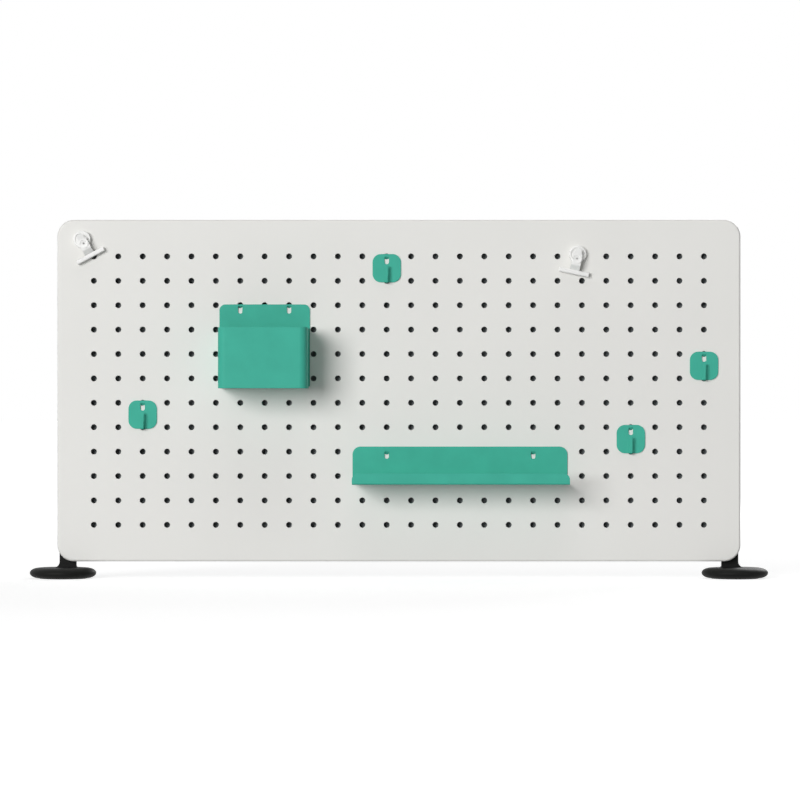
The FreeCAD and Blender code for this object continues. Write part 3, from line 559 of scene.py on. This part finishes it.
# %% The perforated field
hole_columns = 26
hole_rows = 12
rim_low, rim_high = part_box("panel_rim")
board_middle_z = (rim_low.z + rim_high.z) / 2
field = run_tree("perforated_field", grid_tree, columns=hole_columns, rows=hole_rows,
                 pitch_across=hole_pitch, pitch_up=hole_pitch,
                 middle=(0, board_face_y, board_middle_z), piece=tile,
                 finish=finishes["white_coat"])
bpy.data.objects.remove(tile)
print("holes:", hole_columns * hole_rows, "faces:", len(field.data.polygons))

# %% [markdown]
# ## The rim of the board
# On the real board the same sheet rolls over at its edge, runs back as a wall and turns in
# again as a lip. Its section is a short list of insets and depths. Each point of the
# section becomes a rounded rectangle round the board, and quads join one rectangle to the
# next. The flat margin between the rim and the field of holes is filled with triangles,
# so that front and back of the sheet are closed.

# %% The rim's section
board_width = rim_high.x - rim_low.x
board_height = rim_high.z - rim_low.z
board_depth = rim_high.y - rim_low.y
board_corner = 0.017
roll_radius = 0.0022
roll_steps = 6
lip_width = 0.022
lip_corner = 0.008
back_round = 0.0006
back_steps = 3
lip_round = 0.0003
lip_steps = 2


def rim_section():
    """Inset and depth of each point of the rim's section, from face to inner face."""
    inner_back = board_depth - board_sheet
    section = arc_points((roll_radius, roll_radius), roll_radius, 270, 180, roll_steps)
    lip_edge = lip_width - lip_round
    section += arc_points((back_round, board_depth - back_round), back_round, 180, 90,
                          back_steps)
    section += arc_points((lip_edge, board_depth - lip_round), lip_round, 90, 0, lip_steps)
    section += arc_points((lip_edge, inner_back + lip_round), lip_round, 0, -90, lip_steps)
    section.append((board_sheet, inner_back))
    section += arc_points((roll_radius, roll_radius), roll_radius - board_sheet, 180, 270,
                          roll_steps)
    return section


def corner_at(inset):
    """Corner radius at an inset: the board's, easing to the lip's at its edge."""
    share = min(1, inset / lip_width)
    return max(board_corner - inset, lip_corner * share ** 3)


# %% Sweep the rim and close the sheet
corner_steps = 14


def rounded_rectangle(width, height, radius, steps):
    """Points of a flat rounded rectangle round the middle, anticlockwise."""
    points = []
    for corner, (side, up) in enumerate(((1, -1), (1, 1), (-1, 1), (-1, -1))):
        middle = (side * (width / 2 - radius), up * (height / 2 - radius))
        points += arc_points(middle, radius, 90 * (corner - 1), 90 * corner, steps)
    return points


def rim_ring(inset, depth):
    """The rim's rounded rectangle at a point of its section."""
    outline = rounded_rectangle(board_width - 2 * inset, board_height - 2 * inset,
                                corner_at(inset), corner_steps)
    return [(x, board_face_y + depth, board_middle_z + z) for x, z in outline]


def board_mesh():
    """Field of holes and rim in one closed mesh."""
    bm = bmesh.new()
    bm.from_mesh(field.data)
    open_edges = [edge for edge in bm.edges if len(edge.link_faces) == 1]
    loops = [ring(bm, rim_ring(inset, depth)) for inset, depth in rim_section()]
    for first, second in zip(loops, loops[1:]):
        bridge(bm, first, second)
    for loop, depth in ((loops[0], 0), (loops[-1], board_sheet)):
        near = [edge for edge in open_edges
                if abs(edge.verts[0].co.y - board_face_y - depth) < board_sheet / 2]
        border = [bm.edges.get((a, b)) for a, b in zip(loop, loop[1:] + loop[:1])]
        bmesh.ops.triangle_fill(bm, use_beauty=True, use_dissolve=False, edges=near + border)
    print("open edges left on the board:", sum(len(e.link_faces) != 2 for e in bm.edges))
    return outward_mesh_of(bm, "coated_pegboard")


board = add_object("coated_pegboard", board_mesh())
bpy.data.objects.remove(field)
shade(board)
finish_piece(board, "white_coat", "board", "panel_face", "panel_rim")

# %% [markdown]
# ## Screws, washers and nuts
# Each foot is held by two button-head screws with a hex socket, from behind, through a
# washer and the lip into a nut that is welded inside. All three are turned or pressed
# round one axis, so a list of radii and depths describes them. The hexagon has as many
# points as the circles, and quads run from one to the other. The grid tree then sets
# four of each.

# %% Lathe helpers
turned_sides = 24


def hexagon(across_flats, y):
    """Points on a hexagon, in the directions of a circle's points."""
    points = []
    for k in range(turned_sides):
        turn = 2 * math.pi * k / turned_sides
        off_corner = (turn + math.pi / 6) % (math.pi / 3) - math.pi / 6
        reach = across_flats / 2 / math.cos(math.pi / 6 - abs(off_corner))
        points.append((reach * math.cos(turn), y, reach * math.sin(turn)))
    return points


def turned_mesh(name, outlines, closed):
    """Join outlines in order; a closed one joins its ends too, an open one is capped."""
    bm = bmesh.new()
    rings = [ring(bm, outline) for outline in outlines]
    pairs = list(zip(rings, rings[1:])) + ([(rings[-1], rings[0])] if closed else [])
    for first, second in pairs:
        bridge(bm, first, second)
    if not closed:
        for end in (rings[0], rings[-1]):
            middle = bm.verts.new(sum((vert.co for vert in end), Vector()) / len(end))
            for k, vert in enumerate(end):
                bm.faces.new((vert, end[(k + 1) % len(end)], middle))
    return outward_mesh_of(bm, name)


def turned(radius, y):
    return circle(radius, y, turned_sides)


# %% Screw, washer and nut
lip_back_y = board_face_y + board_depth
post_depth = 0.008
post_back_y = lip_back_y + post_depth
washer_height = 0.0008
fine_break = 0.0001
nut_back_y = lip_back_y - board_sheet
nut_height = 0.0032
nut_front_y = nut_back_y - nut_height

head_y = post_back_y + washer_height
head_height = 0.0022
head_radius = 0.0036
head_round = 0.0011
head_steps = 6
shank_radius = 0.002
shank_past_nut = 0.0014
shank_end_y = nut_front_y - shank_past_nut
shank_tip_radius = 0.0014
shank_tip_length = 0.0006
socket_width = 0.0026
socket_depth = 0.0012
socket_mouth_radius = 0.0017
socket_foot_radius = 0.0006
socket_foot_depth = 0.0003
head_top_y = head_y + head_height
socket_foot_y = head_top_y - socket_depth

screw_outlines = [turned(shank_tip_radius, shank_end_y),
                  turned(shank_radius, shank_end_y + shank_tip_length),
                  turned(shank_radius, head_y), turned(head_radius - fine_break, head_y)]
for out, along in arc_points((head_radius - head_round, head_height - head_round),
                             head_round, 0, 90, head_steps):
    screw_outlines.append(turned(out, head_y + along))
screw_outlines += [turned(socket_mouth_radius, head_top_y),
                   hexagon(socket_width, head_top_y - fine_break),
                   hexagon(socket_width, socket_foot_y),
                   turned(socket_foot_radius, socket_foot_y - socket_foot_depth)]

washer_past_head = 0.0007
washer_radius = head_radius + washer_past_head
washer_bore = 0.0022
edge_break = 0.00012
washer_outlines = [turned(washer_bore, post_back_y), turned(washer_bore, head_y),
                   turned(washer_radius - edge_break, head_y),
                   turned(washer_radius, head_y - edge_break),
                   turned(washer_radius, post_back_y + edge_break),
                   turned(washer_radius - edge_break, post_back_y)]

nut_width = 0.007
nut_chamfer = 0.0004
nut_bore = 0.00205
nut_mouth_radius = 0.0024
nut_mouth_depth = 0.0003
nut_outlines = [turned(nut_bore, nut_front_y + nut_mouth_depth), turned(nut_bore, nut_back_y),
                hexagon(nut_width, nut_back_y), hexagon(nut_width, nut_front_y + nut_chamfer),
                turned(nut_width / 2 - fine_break, nut_front_y),
                turned(nut_mouth_radius, nut_front_y)]

# %% Set four of each
screw_across = 0.3402
screw_low_z = 0.0346
screw_high_z = 0.0646


def set_four(name, outlines, closed, slot, node):
    """Screws, washers or nuts at the four places of the feet."""
    one = add_object(name + "_one", turned_mesh(name, outlines, closed))
    shade(one)
    four = run_tree(name, grid_tree, columns=2, rows=2, pitch_across=2 * screw_across,
                    pitch_up=screw_high_z - screw_low_z,
                    middle=(0, 0, (screw_low_z + screw_high_z) / 2), piece=one,
                    finish=finishes[slot])
    bpy.data.objects.remove(one)
    finish_piece(four, slot, "board", node)


set_four("button_head_screws", screw_outlines, False, "black_zinc", "foot_screws")
set_four("flat_washers", washer_outlines, True, "zinc_plate", "foot_washers")
set_four("welded_nuts", nut_outlines, True, "zinc_plate", "panel_weld_nuts")

# %% [markdown]
# ## Bent sheet
# Hooks, bin and shelf are laser-cut from flat sheet and folded on a press brake. They are
# made the same way here. A flat outline with its windows is filled, cut again along lines
# where the fold will be, and then each vertex is carried to its place on the folded side
# view. Solidify gives the sheet its thickness, and Bevel breaks the cut edges, where the
# powder coat gathers and shows a fine bright line.

# %% Fold a flat blank
sheet = 0.001
edge_round = 0.00028
fold_steps = 8
corner_cut_steps = 8
cut_tolerance = 1e-7


def side_runs(points, radius):
    """Straight runs and bends of a side view: length, start, heading, curvature."""
    points = [Vector(point) for point in points]
    runs = []
    start = points[0]
    way = (points[1] - points[0]).normalized()
    for corner, after in zip(points[1:], points[2:]):
        way_out = (after - corner).normalized()
        turn = math.atan2(way.x * way_out.y - way.y * way_out.x, way.dot(way_out))
        cut_back = radius * math.tan(abs(turn) / 2)
        straight = (corner - start).length - cut_back
        runs.append((straight, start, way, 0))
        runs.append((radius * abs(turn), start + way * straight, way,
                     math.copysign(1 / radius, turn)))
        start = corner + way_out * cut_back
        way = way_out
    runs.append(((points[-1] - start).length, start, way, 0))
    return runs


def total_length(runs):
    return sum(run[0] for run in runs)


def point_along(runs, distance):
    """The point at a distance along the side view."""
    for run in runs:
        length, start, way, curvature = run
        if distance <= length or run is runs[-1]:
            break
        distance -= length
    if curvature:
        turn = curvature * distance
        ahead, aside = math.sin(turn) / curvature, (1 - math.cos(turn)) / curvature
    else:
        ahead, aside = distance, 0
    return start + way * ahead + Vector((-way.y, way.x)) * aside


def fold_lines(runs):
    """Distances at which the flat blank is cut, so that its folds come out round."""
    lines = []
    done = 0
    for length, _, _, curvature in runs:
        if curvature:
            lines += [done + length * k / fold_steps for k in range(fold_steps + 1)]
        done += length
    return lines


def cut_blank(outline, windows, lines):
    """A flat mesh of an outline with windows, cut across at each line."""
    bm = bmesh.new()
    edges = []
    for loop in [outline] + windows:
        verts = [bm.verts.new((across, along, 0)) for across, along in loop]
        edges += [bm.edges.new(pair) for pair in zip(verts, verts[1:] + verts[:1])]
    bmesh.ops.triangle_fill(bm, use_beauty=True, use_dissolve=False, edges=edges)
    for face in bm.faces:
        if face.normal.z < 0:
            face.normal_flip()
    for line in lines:
        bmesh.ops.bisect_plane(bm, geom=bm.verts[:] + bm.edges[:] + bm.faces[:],
                               plane_co=(0, line, 0), plane_no=(0, 1, 0), dist=cut_tolerance)
    return bm


def thicken(piece, thickness):
    """Give a folded sheet its thickness and break its edges."""
    body = piece.modifiers.new("thickness", "SOLIDIFY")
    body.thickness = thickness
    body.offset = 1
    body.use_even_offset = True
    add_bevel(piece, edge_round)
    bake_modifiers(piece)


def sheet_piece(name, outline, windows, runs, to_space, thickness=sheet):
    """A bent sheet; to_space turns across and side-view point into a place."""
    bm = cut_blank(outline, windows, fold_lines(runs))
    for vert in bm.verts:
        vert.co = to_space(vert.co.x, point_along(runs, vert.co.y))
    piece = add_object(name, mesh_of(bm, name))
    thicken(piece, thickness)
    return piece


def in_side_view(across, point):
    """Across is left to right, the side view is drawn in depth and height."""
    return (across, point.x, point.y)


# %% [markdown]
# ## Tongues and windows
# Behind each hook, and twice behind the bin and the shelf, a tongue slopes down through a
# hole of the board and takes the weight. The window below it is where the tool reached in
# that bent it. Its foot is round, as the tool's end is. Both are placed from the hole they
# belong to.

# %% Tongue and window
plate_front_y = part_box("hook_1_plate")[0].y
plate_back_y = plate_front_y + sheet
tongue_width = 0.0042
tongue_length = 0.008
tongue_above_hole = 0.000278
tongue_round = 0.0002
window_width = 0.0044
window_height = 0.0078
window_corner = 0.0008
window_foot = 0.002
window_steps = 5


def hole_x(column):
    return (column - (hole_columns - 1) / 2) * hole_pitch


def hole_z(row):
    return board_middle_z + ((hole_rows - 1) / 2 - row) * hole_pitch


def add_tongue(bm, x, z, plate_top_z):
    """A sloping tongue with its upper edge trimmed to the plate."""
    run = tongue_length / math.sqrt(2)
    up = sheet / math.sqrt(2)
    root_z = z + tongue_above_hole
    top_z = min(root_z + 2 * up, plate_top_z - edge_round)
    side = [(plate_front_y + edge_round, root_z - edge_round),
            (plate_front_y + run, root_z - run),
            (plate_front_y + run + up, root_z - run + up),
            (plate_front_y + root_z + 2 * up - top_z, top_z), (plate_front_y + edge_round, top_z)]
    ends = [[bm.verts.new((x + s * tongue_width / 2, y, z)) for y, z in side] for s in (-1, 1)]
    bridge(bm, ends[0], ends[1])
    for end in ends:
        bm.faces.new(end)


def window_loop(x, along):
    """A window's outline, centred across at x, its top at a distance along the blank."""
    outline = []
    for side, up, radius, start in ((-1, -1, window_foot, 180), (1, -1, window_foot, 270),
                                    (1, 1, window_corner, 0), (-1, 1, window_corner, 90)):
        middle = (side * (window_width / 2 - radius), up * (window_height / 2 - radius))
        outline += arc_points(middle, radius, start, start + 90, window_steps)
    return [(x + px, along - window_height / 2 + pz) for px, pz in outline]


def join_tongues(piece, holes, plate_top_z):
    """Add the tongues of a hanging piece to its mesh."""
    bm = bmesh.new()
    for column, row in holes:
        add_tongue(bm, hole_x(column), hole_z(row), plate_top_z)
    bmesh.ops.recalc_face_normals(bm, faces=bm.faces)
    bevelled = [edge for edge in bm.edges if edge.calc_face_angle(0) > sharp_edge]
    bmesh.ops.bevel(bm, geom=bevelled, offset=tongue_round, segments=bevel_segments,
                    affect="EDGES", profile=0.5)
    bm.from_mesh(piece.data)
    piece.data = mesh_of(bm, piece.name)


# %% [markdown]
# ## Hooks
# A hook is a square plate with round corners and a bent finger welded to its front. The
# finger starts on the plate, runs forward and turns up, so that a loop can't slide off.
# Its tip is filed round.

# %% Four hooks
hook_holes = [(12, 0), (25, 4), (2, 6), (22, 7)]
hook_size = 0.029
hook_corner = 0.0085
hook_corner_steps = 10
hook_above_hole = 0.0024
hook_window_below_top = 0.0026
finger_width = 0.0024
finger_thickness = 0.001
finger_reach = 0.0066
finger_bend = 0.0014 + finger_thickness
finger_below_foot = 0.0004
finger_height = 0.0174
finger_root_height = 0.008
finger_tip_steps = 10


def hook_plate(name, column, row):
    """The plate of a hook with its window and tongue."""
    x = hole_x(column)
    top_z = hole_z(row) + hook_above_hole
    foot_z = top_z - hook_size
    runs = side_runs([(plate_back_y, foot_z), (plate_back_y, top_z)], sheet)
    outline = [(x + px, hook_size / 2 + pz)
               for px, pz in rounded_rectangle(hook_size, hook_size, hook_corner,
                                               hook_corner_steps)]
    window = window_loop(x, hook_size - hook_window_below_top)
    piece = sheet_piece(name, outline, [window], runs, in_side_view)
    join_tongues(piece, [(column, row)], top_z)
    return piece


def hook_finger(name, column, row):
    """The finger, a narrow strip with two bends and a round tip."""
    x = hole_x(column)
    foot_z = hole_z(row) + hook_above_hole - hook_size - finger_below_foot
    tip_y = plate_front_y - finger_reach
    runs = side_runs([(tip_y, foot_z + finger_height), (tip_y, foot_z),
                      (plate_front_y, foot_z), (plate_front_y, foot_z + finger_root_height)],
                     finger_bend)
    half_width = finger_width / 2
    tip = [(x + px, half_width + pz)
           for px, pz in arc_points((0, 0), half_width, 180, 360, finger_tip_steps)]
    length = total_length(runs)
    outline = tip + [(x + half_width, length), (x - half_width, length)]
    return sheet_piece(name, outline, [], runs, in_side_view, finger_thickness)


for number, (column, row) in enumerate(hook_holes, 1):
    hook = "hook_%d" % number
    for kind, make in (("plate", hook_plate), ("finger", hook_finger)):
        piece = make("%s_coated_%s" % (hook, kind), column, row)
        shade(piece)
        finish_piece(piece, "green_coat", hook, "%s_%s" % (hook, kind))

# %% [markdown]
# ## The bin
# The bin has two pieces of sheet. One strip is folded round two upright corners and makes
# its sides and front. The other is the back plate, folded at its foot into the floor,
# which is cut narrower there so that it fits between the sides.

# %% Bin
bin_hole_columns = (6, 8)
bin_hole_row = 2
wrap_low, wrap_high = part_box("bin_front_and_sides")
back_low, back_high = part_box("bin_back_and_floor")
bin_x = (wrap_low.x + wrap_high.x) / 2
bin_corner = 0.008
bin_back_corner = 0.006
bin_window_below_top = 0.0016
floor_gap = 0.00005
floor_inset = sheet + floor_gap


def bin_wrap():
    """Sides and front of the bin from one strip."""
    runs = side_runs([(wrap_low.x, plate_front_y), (wrap_low.x, wrap_low.y),
                      (wrap_high.x, wrap_low.y), (wrap_high.x, plate_front_y)], bin_corner)
    length = total_length(runs)
    outline = [(wrap_low.z, 0), (wrap_high.z, 0), (wrap_high.z, length), (wrap_low.z, length)]
    return sheet_piece("bin_coated_wrap", outline, [], runs,
                       lambda across, point: (point.x, point.y, across))


def bin_back():
    """Back plate and floor of the bin from one sheet."""
    floor_front_y = wrap_low.y + floor_inset
    runs = side_runs([(floor_front_y, back_low.z), (plate_back_y, back_low.z),
                      (plate_back_y, back_high.z)], 2 * sheet)
    length = total_length(runs)
    fold_end = runs[0][0] + runs[1][0]
    floor_half = (wrap_high.x - wrap_low.x) / 2 - floor_inset
    back_half = (back_high.x - back_low.x) / 2
    front_corner = bin_corner - floor_inset
    right = arc_points((floor_half - front_corner, front_corner), front_corner, -90, 0,
                       corner_cut_steps)
    right += [(floor_half, fold_end), (back_half, fold_end)]
    right += arc_points((back_half - bin_back_corner, length - bin_back_corner),
                        bin_back_corner, 0, 90, corner_cut_steps)
    outline = [(bin_x + x, along) for x, along in right]
    outline += [(bin_x - x, along) for x, along in reversed(right)]
    windows = [window_loop(hole_x(column), length - bin_window_below_top)
               for column in bin_hole_columns]
    piece = sheet_piece("bin_coated_back", outline, windows, runs, in_side_view)
    join_tongues(piece, [(column, bin_hole_row) for column in bin_hole_columns], back_high.z)
    return piece


for piece, node in ((bin_wrap(), "bin_front_and_sides"), (bin_back(), "bin_back_and_floor")):
    shade(piece)
    finish_piece(piece, "green_coat", "pen_bin", node)

# %% [markdown]
# ## The shelf
# The shelf is one sheet with two folds: a back plate, a floor and a low lip along the
# front. The lip and the back plate have round ends, so that no sharp corner stands out.

# %% Shelf
shelf_hole_columns = (12, 18)
shelf_hole_row = 8
tray_low, tray_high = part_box("shelf_tray")
shelf_x = (tray_low.x + tray_high.x) / 2
shelf_front_y = tray_low.y
shelf_lip_height = 0.0113
shelf_lip_corner = 0.006
shelf_back_corner = 0.008
shelf_window_below_top = 0.0047


def shelf_tray():
    """Lip, floor and back of the shelf from one sheet."""
    runs = side_runs([(shelf_front_y, tray_low.z + shelf_lip_height),
                      (shelf_front_y, tray_low.z), (plate_back_y, tray_low.z),
                      (plate_back_y, tray_high.z)], 2 * sheet)
    length = total_length(runs)
    half_width = (tray_high.x - tray_low.x) / 2
    right = arc_points((half_width - shelf_lip_corner, shelf_lip_corner), shelf_lip_corner,
                       -90, 0, corner_cut_steps)
    right += arc_points((half_width - shelf_back_corner, length - shelf_back_corner),
                        shelf_back_corner, 0, 90, corner_cut_steps)
    outline = [(shelf_x + x, along) for x, along in right]
    outline += [(shelf_x - x, along) for x, along in reversed(right)]
    windows = [window_loop(hole_x(column), length - shelf_window_below_top)
               for column in shelf_hole_columns]
    piece = sheet_piece("shelf_coated_tray", outline, windows, runs, in_side_view)
    join_tongues(piece, [(column, shelf_hole_row) for column in shelf_hole_columns],
                 tray_high.z)
    return piece


tray = shelf_tray()
shade(tray)
finish_piece(tray, "green_coat", "shelf", "shelf_tray")
